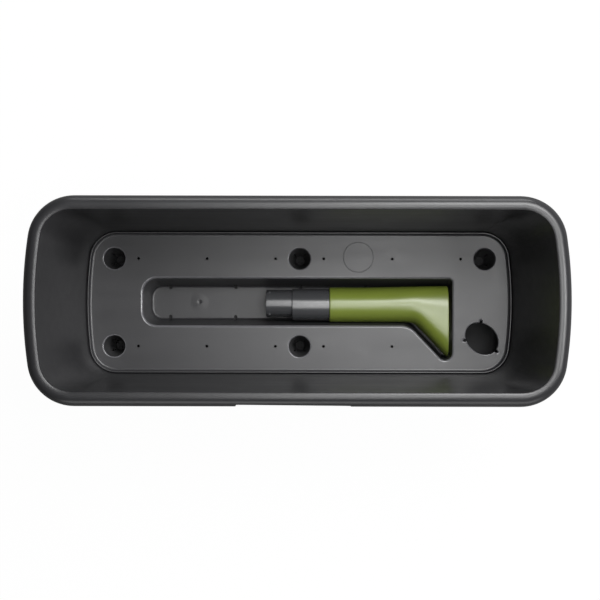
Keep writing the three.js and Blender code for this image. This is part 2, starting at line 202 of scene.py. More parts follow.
# Drain plug
PLUG_GAP = 0.4 * MM
PLUG_STEM = 5.2 * MM
PLUG_STEM_TAPER = 2 * MM
PLUG_STEPS = 48
FLANGE = 3 * MM
FLANGE_RADII = np.array((2, 1.5)) * MM
GRIP_HALVES = np.array((10, 2)) * MM
GRIP_POWERS = (0.4, 0.6)
GRIP_SINK = 0.5 * MM
GRIP_ROUND = 2 * MM
GRIP_RISE = np.radians(np.linspace(0, 90, 7))
GRIP_STEPS = 32

# Moulded plastic: scale and detail of its noises, and how much each moves colour, roughness and height
CLOUD_NOISE = (13, 4)
FLOW_NOISE = (1, 3)
FLOW_STRETCH = (5, 60, 60)
SPECK_NOISE = (620, 2)
RUB_NOISE = (34, 5)
GRAIN_NOISE = (1500, 2)
NOISE_MIDDLE = 0.5
SPECK_LIMITS = (0.62, 0.74)
RUB_LIMITS = (0.58, 0.72)
CLOUD_SHADES = (0.9, 1.1)
SPECK_SHADE = 1.5
SPECK_SHARE = 0.35
CLOUD_ROUGHNESS = 0.08
FLOW_ROUGHNESS = 0.1
RUB_POLISH = 0.03
SPECK_HEIGHT = 0.5
GRAIN_STRENGTH = 0.12
GRAIN_DEPTH = 0.15 * MM

# Painted shade in the wells and under the insert: how dark it makes the plastic, the roughness it adds and
# the levels between which it fades
PAINTED_SHADE = 0.6
SHADE_ROUGHNESS = 0.45
TROUGH_SHADE_LEVELS = np.array((20, 50)) * MM
WELL_SHADE_LEVELS = np.array((66, 73)) * MM
WELL_BAND = np.array((46, 52)) * MM
MOUTH_BAND = np.array((240, 260)) * MM

# Worn edges with a painted highlight: how much smoother they are, how much lighter the painted highlight
# makes them, and the slopes and heights at which they lie
WORN_POLISH = 0.2
EDGE_HIGHLIGHT = 3.6
WEAR_HIGHLIGHT_SLOPES = (0.15, 0.4)
WEAR_HIGHLIGHT_FOOT = np.array((69.5, 72.5)) * MM
WEAR_HIGHLIGHT_HEAD = np.array((74.92, 74.985)) * MM

# Studio: floor, ambient light, and lamps as name, place, aim, size and power
FLOOR_REACH = 4
FLOOR_LEVEL = -0.5 * MM
FLOOR_WHITE = 0.975
FLOOR_BOUNCE = (0.15, 0.15, 0.15, 1)
FLOOR_SHADE = (0.8, 0.8, 0.8, 1)
WHITE = (1, 1, 1, 1)
AMBIENT = (0.04, 0.04, 0.04, 1)
LAMPS = (
    ("overhead_strip", (0.06, 0, 2.25), (0.06, 0, 0), (0.36, 2.5), 18.5),
    ("key_softbox", (1.0, 1.35, 2.2), (1.0, 1.35, 0), (1.5, 1.5), 84),
    ("side_strip", (1.75, 0, 2.0), (0.3, 0, 0.2), (0.5, 0.9), 26),
    ("fill_softbox", (0.57, -0.06, 2.25), (0.57, -0.06, 0), (0.55, 0.6), 7.8),
    ("back_strip", (0.2, 2.2, 0.4), (0, 0, 0.25), (1.8, 0.6), 18),
    ("front_softbox", (0.2, -2.2, 0.45), (0, 0, 0.25), (3, 0.9), 15),
)

# Camera, straight above, as the photograph has it
PICTURE = 600
FOCUS_PIXELS = 1108
NADIR_PIXEL = np.array((316.8, 314.35))
CAMERA_PLACE = np.array((28, -19, 1871)) * MM
CAMERA_ROLL = np.radians(0.12)
SENSOR = 36

# Steps of round stretches, and what joins and shades the meshes
ARC_STEPS = 8
END_STEPS = 12
CORNER_STEPS = 18
RECESS_STEPS = 12
FRONT_SIDE = RECESS_STEPS + 1
BACK_SIDE = 4 * (RECESS_STEPS + 1)
PIPE_STEPS = 96
SMALL_ROUND = 1 * MM
SOFT_SQUARE = 0.5
JOIN_DISTANCE = 0.004 * MM
NET_GAP = 1e-7
NET_INSIDE = 1
SHARP_ANGLE = np.radians(50)


def length(name, description, default):
    """A size in metres."""
    units = {"precision": 4, "subtype": "DISTANCE", "unit": "LENGTH"}
    return FloatProperty(name=name, description=description, default=default, min=0, **units)


def share(name, description, default):
    """A number between nothing and all."""
    limits = {"min": 0, "max": 1, "subtype": "FACTOR"}
    return FloatProperty(name=name, description=description, default=default, **limits)


def colour(name, description, default):
    """A linear colour."""
    limits = {"size": 3, "min": 0, "max": 1, "subtype": "COLOR"}
    return FloatVectorProperty(name=name, description=description, default=default, **limits)


class TroughSizes(PropertyGroup):
    """Sizes of the outer trough"""

    half_length: length("Half length", "From the middle to the rim's end", TROUGH_HIGH.x)
    half_width: length("Half width", "From the middle to the rim's side", TROUGH_HIGH.y)
    height: length("Height", "Top of the rim above the ground", TROUGH_HIGH.z)
    wall: length("Wall", "Thickness of the wall", 3 * MM)
    rim_width: length("Rim width", "Width of the rolled rim, seen from above", 21.7 * MM)
    rim_corner: length("Rim corner", "Corner radius of the rim in plan", 68 * MM)
    rim_bow: length("Rim bow", "Plan radius of the bowed ends", 650 * MM)
    skirt: length("Skirt", "Depth of the skirt below the top of the rim", 47 * MM)
    floor: length("Floor", "Top of the floor above the ground", 7 * MM)
    ground_gap: length("Ground gap", "Underside of the floor above the ground", 4 * MM)


class InsertSizes(PropertyGroup):
    """Sizes of the lift-out insert"""

    reach: length("Reach", "From the middle to the lip's end", INSERT_HIGH.x)
    half_width: length("Half width", "From the middle to the lip's side", INSERT_HIGH.y)
    lip_top: length("Lip top", "Top of the lip above the ground", INSERT_HIGH.z)
    foot: length("Foot", "Underside of the wells above the ground", INSERT_LOW.z)
    plate: length("Plate", "Top of the plate above the ground", 75 * MM)
    sheet: length("Sheet", "Thickness of the insert's wall", 2.5 * MM)
    recess_floor: length("Recess floor", "Floor of the storage recess above the ground", 12 * MM)
    well_top: length("Well top", "Radius of a wick well at the plate", 17.5 * MM)
    well_foot: length("Well foot", "Radius of a wick well at its floor", 7.5 * MM)
    drip: length("Drip hole", "Radius of a drip hole", 2.3 * MM)


class PipeSizes(PropertyGroup):
    """Sizes of the filler pipe"""

    wall: length("Wall", "Thickness of the pipe's wall", 2 * MM)
    mouth_power: FloatProperty(
        name="Mouth squareness",
        description="Power of the mouth's section; 2 is an ellipse",
        default=2.7,
        min=2,
    )


class Finishes(PropertyGroup):
    """Colours and gloss of the plastics"""

    trough: colour("Trough", "Anthracite of the trough", (0.021, 0.021, 0.0225))
    insert: colour("Insert", "Anthracite of the insert", (0.031, 0.031, 0.033))
    tube: colour("Tube", "Dark grey of the tube", (0.045, 0.046, 0.049))
    spout: colour("Spout", "Green of the spout", (0.145, 0.187, 0.025))
    plug: colour("Plug", "Dark grey of the drain plug", (0.04, 0.04, 0.042))
    trough_gloss: share("Trough roughness", "Roughness of the trough", 0.34)
    insert_gloss: share("Insert roughness", "Roughness of the insert", 0.37)
    tube_gloss: share("Tube roughness", "Roughness of the tube", 0.25)
    spout_gloss: share("Spout roughness", "Roughness of the spout", 0.33)
    specular: share("Reflection", "Specular level of the trough and the plug", 0.55)
    insert_specular: share("Insert reflection", "Specular level of the insert", 0.56)
    tube_specular: share("Tube reflection", "Specular level of the tube", 0.95)
    spout_specular: share("Spout reflection", "Specular level of the spout", 0.9)


class Planter(PropertyGroup):
    """Everything that the operators read"""

    trough: PointerProperty(type=TroughSizes)
    insert: PointerProperty(type=InsertSizes)
    pipe: PointerProperty(type=PipeSizes)
    finishes: PointerProperty(type=Finishes)


def arc(centre, radii, first, last, steps=ARC_STEPS):
    """Points of an ellipse's arc: centre plus radii times the cosine and sine of even angles.

    The angles are in degrees, and one radius alone makes a circle's arc.
    """
    angle = np.radians(np.linspace(first, last, steps + 1))
    circle = np.column_stack((np.cos(angle), np.sin(angle)))
    return np.asarray(centre) + np.asarray(radii) * circle


def whole_turn(steps):
    """Even angles of a whole turn, in radians."""
    return np.linspace(0, 2 * np.pi, steps, endpoint=False)


def signed_power(value, power):
    """The size of a value raised to a power, with the value's own sign."""
    return np.sign(value) * np.abs(value) ** power


def level(outline, height):
    """An outline in plan, set at a height."""
    return np.column_stack((outline, np.full(len(outline), height)))


def ring(place, radius, height, steps):
    """A level circle of points about a place in plan."""
    return level(arc(place, radius, 0, 360, steps)[:-1], height)


def smooth(value):
    """Smooth step: nothing below 0, all above 1, and 3 v squared less 2 v cubed between."""
    value = np.clip(value, 0, 1)
    return value * value * (3 - 2 * value)


def anticlockwise(loop, axes):
    """A loop of points, turned round where its neighbours' cross products add up to less than nothing."""
    x, y = loop[:, axes].T
    area = np.sum(x * np.roll(y, -1) - y * np.roll(x, -1))
    return loop if area > 0 else loop[::-1]


def grid_faces(rows, columns, wrap, loop):
    """Quads between the neighbours of a grid whose points are numbered row by row."""
    row = np.arange(rows if loop else rows - 1)[:, None]
    column = np.arange(columns if wrap else columns - 1)[None, :]
    next_row = (row + 1) % rows
    next_column = (column + 1) % columns
    corners = ((row, column), (row, next_column), (next_row, next_column), (next_row, column))
    return np.stack(np.broadcast_arrays(*(r * columns + c for r, c in corners)), axis=-1)


class Skin:
    """Patches of one piece's surface, joined along their shared edges at the end."""

    def __init__(self):
        self.points = []
        self.faces = []
        self.total = 0

    def patch(self, points, faces):
        """Adds points and the faces that number them."""
        self.points.append(points.reshape(-1, 3))
        self.faces.extend((faces + self.total).tolist())
        self.total += len(self.points[-1])

    def grid(self, points, wrap=True, loop=False, keep=None):
        """Adds a grid of points as quads; wrap closes each row, loop joins the last row to the first."""
        faces = grid_faces(*points.shape[:2], wrap, loop)
        self.patch(points, faces.reshape(-1, 4) if keep is None else faces[keep])

    def flat(self, loops, across=2):
        """Adds the flat area inside the first loop and outside the others.

        A constrained Delaunay net joins the coordinates other than across. That coordinate then follows
        from the plane through the first loop, found by least squares.
        """
        kept = [axis for axis in range(3) if axis != across]
        loops = [anticlockwise(loop, kept) for loop in loops]
        ends = np.cumsum([len(loop) for loop in loops])
        outlines = [list(range(end - len(loop), end)) for loop, end in zip(loops, ends)]
        flat_points = np.vstack(loops)[:, kept].tolist()
        net, _, faces, _, _, sources = delaunay_2d_cdt(flat_points, [], outlines, NET_INSIDE, NET_GAP)
        faces = [face for face, source in zip(faces, sources) if source == [0]]
        if not faces:
            raise RuntimeError("a flat area has no faces")
        rim = np.column_stack((loops[0][:, kept], np.ones(len(loops[0]))))
        plane = np.linalg.lstsq(rim, loops[0][:, across], rcond=None)[0]
        points = np.zeros((len(net), 3))
        points[:, kept] = np.array(net)
        points[:, across] = points[:, kept] @ plane[:2] + plane[2]
        self.patch(points, np.array(faces))

    def build(self, name):
        """Joins the patches into a closed mesh whose faces point outwards, and returns its object."""
        mesh = bpy.data.meshes.new(name)
        mesh.from_pydata(np.vstack(self.points).tolist(), [], self.faces)
        work = bmesh.new()
        work.from_mesh(mesh)
        bmesh.ops.remove_doubles(work, verts=work.verts, dist=JOIN_DISTANCE)
        bmesh.ops.recalc_face_normals(work, faces=work.faces)
        gaps = sum(not edge.is_manifold for edge in work.edges)
        work.to_mesh(mesh)
        work.free()
        if gaps:
            raise RuntimeError(f"{name} has {gaps} open edges")
        mesh.polygons.foreach_set("use_smooth", np.ones(len(mesh.polygons), bool))
        mesh.set_sharp_from_angle(angle=SHARP_ANGLE)
        piece = bpy.data.objects.new(name, mesh)
        bpy.context.scene.collection.objects.link(piece)
        shading = piece.modifiers.new("even_shading", "WEIGHTED_NORMAL")
        shading.keep_sharp = True
        return piece


class Signal:
    """A shader socket to reckon with: an expression on it adds the Math nodes that work it out."""

    def __init__(self, finish, socket):
        self.finish = finish
        self.socket = socket

    def reckon(self, operation, first, second):
        """The result of a Math node on two values or signals."""
        return self.finish.node("ShaderNodeMath", {"operation": operation}, {0: first, 1: second})

    def __add__(self, other):
        return self.reckon("ADD", self, other)

    def __radd__(self, other):
        return self.reckon("ADD", other, self)

    def __sub__(self, other):
        return self.reckon("SUBTRACT", self, other)

    def __rsub__(self, other):
        return self.reckon("SUBTRACT", other, self)

    def __mul__(self, other):
        return self.reckon("MULTIPLY", self, other)

    def __rmul__(self, other):
        return self.reckon("MULTIPLY", other, self)


class Finish:
    """The shader nodes of a material or of the world."""

    def __init__(self, owner):
        owner.use_nodes = True
        self.owner = owner
        self.tree = owner.node_tree
        self.tree.nodes.clear()

    def node(self, kind, settings, inputs, output=0):
        """Makes a node, sets its settings, then gives its inputs their values or links."""
        made = self.tree.nodes.new(kind)
        for name, value in settings.items():
            setattr(made, name, value)
        for key, value in inputs.items():
            if isinstance(value, Signal):
                self.tree.links.new(value.socket, made.inputs[key])
            else:
                made.inputs[key].default_value = value
        return Signal(self, made.outputs[output]) if made.outputs else made

    def place(self, stretch=(1, 1, 1)):
        """Object coordinates, stretched along the axes."""
        point = self.node("ShaderNodeTexCoord", {}, {}, "Object")
        return self.node("ShaderNodeMapping", {}, {"Vector": point, "Scale": stretch})

    def axis(self, name, of="Object"):
        """One of the object coordinates, or of the parts of the surface's normal."""
        point = self.node("ShaderNodeTexCoord", {}, {}, of)
        return self.node("ShaderNodeSeparateXYZ", {}, {"Vector": point}, name)

    def noise(self, place, scale, detail):
        """Cloudy noise about one half."""
        return self.node("ShaderNodeTexNoise", {}, {"Vector": place, "Scale": scale, "Detail": detail})

    def band(self, value, low, high):
        """Nothing below low, all above high, and a smooth step between."""
        settings = {"interpolation_type": "SMOOTHSTEP"}
        inputs = {"Value": value, "From Min": low, "From Max": high}
        return self.node("ShaderNodeMapRange", settings, inputs)

    def blend(self, factor, first, second):
        """Mixes two colours."""
        return self.node("ShaderNodeMix", {"data_type": "RGBA"}, {0: factor, 6: first, 7: second}, 2)

    def bump(self, height, strength, distance):
        """The normal of a surface that a height raises."""
        inputs = {"Height": height, "Strength": strength, "Distance": distance}
        return self.node("ShaderNodeBump", {}, inputs)

    def close(self, surface, output="ShaderNodeOutputMaterial"):
        """Links the surface to the output and returns what the finish belongs to."""
        self.node(output, {}, {"Surface": surface})
        return self.owner


def tinted(base, factor):
    """A colour made lighter or darker, with its alpha."""
    return (*(min(1, channel * factor) for channel in base), 1)


def moulded_plastic(name, base, roughness, specular, shade_mask=None, wear_highlight_mask=None):
    """Satin moulded plastic: clouded colour, fine eroded grain, flow lines and rubbed spots in its gloss.

    Two functions can each add a share over the surface: where shade is painted it is darker and without
    gloss, and on the worn edges it is polished and lighter, a painted highlight.
    """
    finish = Finish(bpy.data.materials.new(name))
    place = finish.place()
    cloud = finish.noise(place, *CLOUD_NOISE)
    flow = finish.noise(finish.place(FLOW_STRETCH), *FLOW_NOISE)
    specks = finish.noise(place, *SPECK_NOISE)
    rubbed = finish.band(finish.noise(place, *RUB_NOISE), *RUB_LIMITS)
    grain = finish.noise(place, *GRAIN_NOISE)
    tint = finish.blend(cloud, *(tinted(base, shade) for shade in CLOUD_SHADES))
    speckle = finish.band(specks, *SPECK_LIMITS) * SPECK_SHARE
    shade = finish.blend(speckle, tint, tinted(base, SPECK_SHADE))
    clouded = (cloud - NOISE_MIDDLE) * CLOUD_ROUGHNESS
    flowing = (flow - NOISE_MIDDLE) * FLOW_ROUGHNESS
    gloss = roughness + clouded + flowing - rubbed * RUB_POLISH
    # painted shade: the colour darkens where the shade function lays its share
    if shade_mask:
        shade_share = shade_mask(finish)
        shade = finish.blend(shade_share, shade, tinted(base, PAINTED_SHADE))
        gloss = gloss + shade_share * SHADE_ROUGHNESS
    # painted highlight: the worn edges get a lighter colour, and their polish lowers the roughness
    if wear_highlight_mask:
        edge_wear_highlight = wear_highlight_mask(finish)
        shade = finish.blend(edge_wear_highlight, shade, tinted(base, EDGE_HIGHLIGHT))
        gloss = gloss - edge_wear_highlight * WORN_POLISH
    normal = finish.bump(grain + specks * SPECK_HEIGHT, GRAIN_STRENGTH, GRAIN_DEPTH)
    inputs = {"Base Color": shade, "Roughness": gloss, "Normal": normal, "Specular IOR Level": specular}
    return finish.close(finish.node("ShaderNodeBsdfPrincipled", {}, inputs))


def shade_under_insert(finish):
    """Painted shade on the trough's floor and the foot of its walls, which lie under the insert."""
    return 1 - finish.band(finish.axis("Z"), *TROUGH_SHADE_LEVELS)


def worn_highlit_edges(finish):
    """The rounded edges just below the insert's plate, without the upright walls of its holes: worn
    smoother, and lightened by a painted highlight.
    """
    height = finish.axis("Z")
    below = 1 - finish.band(height, *WEAR_HIGHLIGHT_HEAD)
    upwards = finish.band(finish.axis("Z", "Normal"), *WEAR_HIGHLIGHT_SLOPES)
    return finish.band(height, *WEAR_HIGHLIGHT_FOOT) * below * upwards


def shade_in_wells(finish):
    """Painted shade inside the wick wells: below the plate and away from the storage recess."""
    side = finish.node("ShaderNodeMath", {"operation": "ABSOLUTE"}, {0: finish.axis("Y")})
    beside = finish.band(side, *WELL_BAND)
    mouth = finish.band(finish.axis("X") - finish.axis("Y"), *MOUTH_BAND)
    below = 1 - finish.band(finish.axis("Z"), *WELL_SHADE_LEVELS)
    return below * beside * (1 - mouth)


def plan_rows(outlines, side_x):
    """Closed outlines in plan, one row for each of outlines: reach, half width, corner, bow and height.

    An end is an arc of the bow radius about a point on the X axis. A corner arc touches that arc and the
    straight side: its centre lies at the half width less the corner radius from the X axis, and at the
    bow radius less the corner radius from the end's centre. One quarter is mirrored into the others.
    """
    reach, half_width, corner, bow, height = outlines.T[:, :, None]
    end_centre = reach - bow
    corner_y = half_width - corner
    corner_x = end_centre + np.sqrt((bow - corner) ** 2 - corner_y**2)
    joint = np.arctan2(corner_y, corner_x - end_centre)
    end = joint * np.linspace(0, 1, END_STEPS + 1)
    turn = joint + (np.pi / 2 - joint) * np.linspace(0, 1, CORNER_STEPS + 1)[1:]
    x = np.hstack((end_centre + bow * np.cos(end), corner_x + corner * np.cos(turn)))
    y = np.hstack((bow * np.sin(end), corner_y + corner * np.sin(turn)))
    side = np.broadcast_to(side_x, (len(outlines), len(side_x)))
    edge = np.broadcast_to(half_width, side.shape)
    xs = np.hstack((x, side[:, ::-1], -x[:, ::-1], -x[:, 1:], side, x[:, :0:-1]))
    ys = np.hstack((y, edge, y[:, ::-1], -y[:, 1:], -edge, -y[:, :0:-1]))
    return np.stack((xs, ys, np.broadcast_to(height, xs.shape)), axis=-1)


def rim_outlines(size, section):
    """Outlines of the rim from its section: inset from the outermost edge, and drop from the top."""
    inset, drop = section.T
    widest = np.array((size.half_length, size.half_width, size.rim_corner, size.rim_bow))
    return np.column_stack((widest - inset[:, None], size.height - drop))


def wall_outlines(size, section):
    """Outlines of the wall from its section: inset from the inner face, and height.

    The inner face tapers evenly between the rim's inner edge and its outline at the insert's lip.
    """
    inset, height = section.T
    top = np.array((size.half_length, size.half_width, size.rim_corner, size.rim_bow)) - size.rim_width
    top_level = size.height - WALL_DROP
    up = ((height - LIP_LEVEL) / (top_level - LIP_LEVEL))[:, None]
    return np.column_stack((WALL_AT_LIP + (top - WALL_AT_LIP) * up - inset[:, None], height))


def press_label(size, rows, cover):
    """Presses the bare label flat into the front: no point lies before a plane that slants in plan."""
    x = rows[..., 0]
    cover = cover[:, None]
    depth = np.interp(x, LABEL_ENDS, LABEL_DEPTHS)
    from_left = smooth((x - LABEL_ENDS[0] + cover) / LABEL_STEP + 0.5)
    from_right = smooth((LABEL_ENDS[1] + cover - x) / LABEL_STEP + 0.5)
    front = cover - size.half_width + depth * from_left * from_right
    rows[..., 1] = np.maximum(rows[..., 1], front)


def trough_side_places(size):
    """Places along the straight sides: even ones, and more at the label's ends and the overflow holes."""
    sides = np.array((-1, 1))
    ends = LABEL_ENDS[:, None] + LABEL_STEP_PLACES
    outer_ends = (LABEL_ENDS + sides * size.wall)[:, None] + LABEL_STEP_PLACES
    holes = sides * (OVERFLOW_X - OVERFLOW_PATCH)
    return np.unique(np.concatenate((WALL_PLACES, ends.ravel(), outer_ends.ravel(), holes)))


def trough_sections(size):
    """The trough's skin in section, from the underside, up outside, over the rim and down inside.

    Round stretches are arcs of ellipses, but for the crown of the rim: its height is the root of 1 less
    the power of its distance from the top, with a power just over 2. It runs on past the top to a small
    round edge over the wall. Returns the outlines, and the skin outside each.
    """
    wall = size.wall
    ring_out, ring_in, round_inset = FOOT_INSETS
    bevel, bevel_rise = FOOT_BEVEL
    foot = np.array(((ring_out, size.ground_gap), (ring_in, bevel_rise), (ring_in - bevel, 0)))
    edge = arc((round_inset, FOOT_ROUND), (round_inset + wall, FOOT_ROUND), -90, -180)
    outside = np.column_stack((np.full(len(WALL_LEVELS), -wall), WALL_LEVELS))
    rise = (size.rim_width - CHANNEL_WALL - CHANNEL_INSET, CHANNEL_DROP - CHANNEL_TOP)
    channel_rise = arc((CHANNEL_INSET, CHANNEL_DROP), rise, 0, -90)
    fall = (CHANNEL_INSET - wall, SKIRT_SHOULDER - CHANNEL_TOP)
    channel_fall = arc((CHANNEL_INSET, SKIRT_SHOULDER), fall, -90, -180, steps=12)[1:]
    half = wall / 2
    hem = arc((SKIRT_DRAFT + half, size.skirt - half), half, 0, 180)
    across = np.cos(np.radians(np.linspace(0, 90 + CROWN_END, CROWN_STEPS + 1)))
    crown_height = (1 - np.abs(across) ** CROWN_POWER) ** (1 / CROWN_POWER)
    crown = np.column_stack((CROWN_INSET * (1 - across), SKIRT_SHOULDER * (1 - crown_height)))
    roll = arc((size.rim_width - INNER_EDGE, WALL_DROP), INNER_EDGE, INNER_EDGE_START, 0, steps=10)
    inside_levels = np.append(WALL_LEVELS[::-1], WALL_FOOT)
    inside = np.column_stack((np.zeros(len(inside_levels)), inside_levels))
    fillet = arc(FLOOR_FILLET, FLOOR_FILLET - (0, size.floor), 180, 270)

    under_rim = np.vstack((channel_rise, channel_fall))
    outer = np.vstack((foot, edge, outside))
    upper = np.vstack((crown, roll))
    inner = np.vstack((inside, fillet))
    outlines = (
        wall_outlines(size, outer),
        rim_outlines(size, np.vstack((under_rim, hem, upper))),
        wall_outlines(size, inner),
    )
    hem_cover = hem[:, 0] - SKIRT_DRAFT
    plain = np.zeros(len(upper) + len(inner))
    cover = np.concatenate((np.zeros(len(outer)), np.full(len(under_rim), wall), hem_cover, plain))
    return np.vstack(outlines), cover


def trough_skin(size):
    """The trough: its section carried round its plan, with a pierced floor and two overflow holes."""
    skin = Skin()
    outlines, cover = trough_sections(size)
    rows = plan_rows(outlines, trough_side_places(size))
    press_label(size, rows, cover)

    faces = grid_faces(*rows.shape[:2], True, False)
    corners = rows.reshape(-1, 3)[faces]
    middle = corners.mean(axis=2)
    keep = np.ones(faces.shape[:2], bool)
    for side in (-1, 1):
        holes = []
        off = np.abs(middle - np.array((side * OVERFLOW_X, 0, OVERFLOW_Z)))
        pierced = (off[..., 0] < MM) & (off[..., 2] < MM) & (middle[..., 1] > 0)
        keep &= ~pierced
        for corner in corners[pierced]:
            hole = arc((side * OVERFLOW_X, OVERFLOW_Z), OVERFLOW_RADIUS, 0, 360, OVERFLOW_STEPS)[:-1]
            depth = np.interp(hole[:, 1], np.sort(corner[:, 2])[[0, 3]], np.sort(corner[:, 1])[[0, 3]])
            holes.append(np.column_stack((hole[:, 0], depth, hole[:, 1])))
            skin.flat([corner, holes[-1]], across=1)
        skin.grid(np.stack(holes))
    skin.grid(rows, keep=keep)

    drain_top = ring(DRAIN_PLACE, DRAIN_RADIUS, size.floor, DRAIN_STEPS)
    drain_low = ring(DRAIN_PLACE, DRAIN_RADIUS, size.ground_gap, DRAIN_STEPS)
    skin.flat([rows[-1], drain_top])
    skin.flat([rows[0], drain_low])
    skin.grid(np.stack((drain_top, drain_low)))
    return skin


def recess_rows(depth_share, margin, height):
    """Outlines of the storage recess at shares of its depth, each grown outwards by a margin.

    Each side moves inwards by its draft times the share, less the margin. The corner p of two moved sides
    solves n1.(p - c) = d1 and n2.(p - c) = d2, with c the corner at the plate and n the inward normals.
    An arc rounds it, about a centre on the bisector at the radius over the sine of half the angle. The
    two long sides also get points at the edges of the drain slots.
    """
    depth_share, margin, height = (values[:, None] for values in (depth_share, margin, height))
    along = np.roll(RECESS_CORNERS, -1, axis=0) - RECESS_CORNERS
    along /= np.linalg.norm(along, axis=1, keepdims=True)
    before = np.roll(along, 1, axis=0)
    normal = np.column_stack((-along[:, 1], along[:, 0]))
    normal_before = np.roll(normal, 1, axis=0)
    moved = RECESS_DRAFTS * depth_share - margin
    distances = np.stack((np.roll(moved, 1, axis=1), moved), axis=-1)
    solve = np.linalg.inv(np.stack((normal_before, normal), axis=1))
    corners = RECESS_CORNERS + np.einsum("cij,rcj->rci", solve, distances)

    crossing = before[:, 0] * along[:, 1] - before[:, 1] * along[:, 0]
    sweep = np.arctan2(crossing, np.sum(before * along, axis=1))
    outward = np.sign(sweep)
    radius = RECESS_RADII + (RECESS_FLOOR_RADII - RECESS_RADII) * depth_share + outward * margin
    radius = np.maximum(radius, SMALL_ROUND)
    bisector = along - before
    bisector /= np.linalg.norm(bisector, axis=1, keepdims=True)
    half_angle = (np.pi - np.abs(sweep)) / 2
    centres = corners + bisector * (radius / np.sin(half_angle))[..., None]
    first = np.arctan2(-outward * normal_before[:, 1], -outward * normal_before[:, 0])
    angle = first[:, None] + sweep[:, None] * np.linspace(0, 1, RECESS_STEPS + 1)
    round_x = centres[..., 0, None] + radius[..., None] * np.cos(angle)
    round_y = centres[..., 1, None] + radius[..., None] * np.sin(angle)
    flat_shape = (len(moved), -1)
    xs = round_x.reshape(flat_shape)
    ys = round_y.reshape(flat_shape)
    slot_edges = (SLOT_X[:, None] + SLOT_HALF_WIDTH * np.array((-1, 1))).ravel()
    slot_xs = np.broadcast_to(slot_edges, (len(xs), len(slot_edges)))
    sides = (FRONT_SIDE, BACK_SIDE)
    front_ys, back_ys = (np.broadcast_to(ys[:, [side - 1]], slot_xs.shape) for side in sides)
    corner_xs = np.split(xs, sides, axis=1)
    corner_ys = np.split(ys, sides, axis=1)
    xs = np.hstack((corner_xs[0], slot_xs, corner_xs[1], slot_xs[:, ::-1], corner_xs[2]))
    ys = np.hstack((corner_ys[0], front_ys, corner_ys[1], back_ys, corner_ys[2]))
    return np.stack((xs, ys, np.broadcast_to(height, xs.shape)), axis=-1)


def recess_wall(size, cover):
    """Rows of the recess wall from the plate to its floor, on the skin's face or cover outside it.

    The edge and the floor are rounded by quarter circles: the margin falls from the edge radius to
    nothing along the first, and on below nothing along the second.
    """
    plate = size.plate - cover
    floor = size.recess_floor - cover
    edge_foot = plate - RECESS_EDGE
    fillet_top = floor + RECESS_FILLET
    edge = arc((RECESS_EDGE, edge_foot), RECESS_EDGE, 90, 180)
    levels = np.append(np.linspace(edge_foot, fillet_top, RECESS_LEVELS + 2)[1:-1], SLOT_TOP)
    wall = np.column_stack((np.zeros(len(levels)), levels))
    foot = arc((-RECESS_FILLET, fillet_top), RECESS_FILLET, 0, -90)
    section = np.vstack((edge, wall, foot))
    depth_share = np.clip((plate - section[:, 1]) / (plate - floor), 0, 1)
    return recess_rows(depth_share, section[:, 0] + cover, section[:, 1])


def revolve(place, section, angles):
    """A section of radius and height turned about an upright axis, a row for each of its points."""
    radius, height = section.T[:, :, None]
    x = place[0] + radius * np.cos(angles)
    y = place[1] + radius * np.sin(angles)
    return np.stack((x, y, np.broadcast_to(height, x.shape)), axis=-1)


def row_at(rows, height):
    """Number of the row of points at a height."""
    return np.flatnonzero(np.isclose(rows[:, 0, 2], height))[0]


def well(skin, size, place):
    """A wick well: a cone with four upright slots and a cross over four holes in its floor.

    Returns its circles at the top and at the underside of the plate.
    """
    quarter = np.concatenate(((-WELL_SLOT_HALF_TURN, WELL_SLOT_HALF_TURN), WELL_TURNS))
    angles = np.radians((45 + quarter + 90 * np.arange(4)[:, None]).ravel())
    floor = size.foot + size.sheet

    def cone(height, cover):
        """Radius at a height: it grows evenly from the well's floor to the plate."""
        share = (height - floor) / (size.plate - floor)
        return size.well_foot + (size.well_top - size.well_foot) * share + cover

    faces = []
    for cover, bottom in ((0, floor), (size.sheet, size.foot)):
        top = size.plate - cover
        top_radius = cone(top - WELL_EDGE, cover)
        edge = arc((top_radius + WELL_EDGE, top - WELL_EDGE), WELL_EDGE, 90, 180, steps=6)
        wall = np.column_stack((cone(WELL_LEVELS, cover), WELL_LEVELS))
        foot_top = bottom + SMALL_ROUND
        foot = arc((cone(foot_top, cover) - SMALL_ROUND, foot_top), SMALL_ROUND, 0, -90, steps=4)
        faces.append(revolve(place, np.vstack((edge, wall, foot)), angles))
    inner, outer = faces

    low, high = (row_at(inner, slot_end) for slot_end in (WELL_SLOT_LOW, WELL_SLOT_HIGH))
    keep = np.ones((len(inner) - 1, len(angles)), bool)
    starts = np.arange(0, len(angles), len(quarter))
    keep[high:low, starts] = False
    for face in faces:
        skin.grid(face, keep=keep)
    for start in starts:
        sides = [face[high : low + 1, start : start + 2].swapaxes(0, 1) for face in faces]
        skin.grid(np.stack([np.vstack((first, second[::-1])) for first, second in sides]))

    quadrants = np.array(((1, 1), (-1, 1), (-1, -1), (1, -1))) * WELL_HOLE_OFFSET + place
    holes = [[rounded_square(quadrant, z) for quadrant in quadrants] for z in (floor, size.foot)]
    skin.flat([inner[-1], *holes[0]])
    skin.flat([outer[-1], *holes[1]])
    for upper, lower in zip(*holes):
        skin.grid(np.stack((upper, lower)))
    return inner[0], outer[0]


def rounded_square(place, height):
    """A level square with soft corners: a superellipse, whose cosine and sine are raised to one half."""
    angle = whole_turn(WELL_HOLE_STEPS)
    square = signed_power(np.column_stack((np.cos(angle), np.sin(angle))), SOFT_SQUARE)
    return level(place + WELL_HOLE_HALF * square, height)


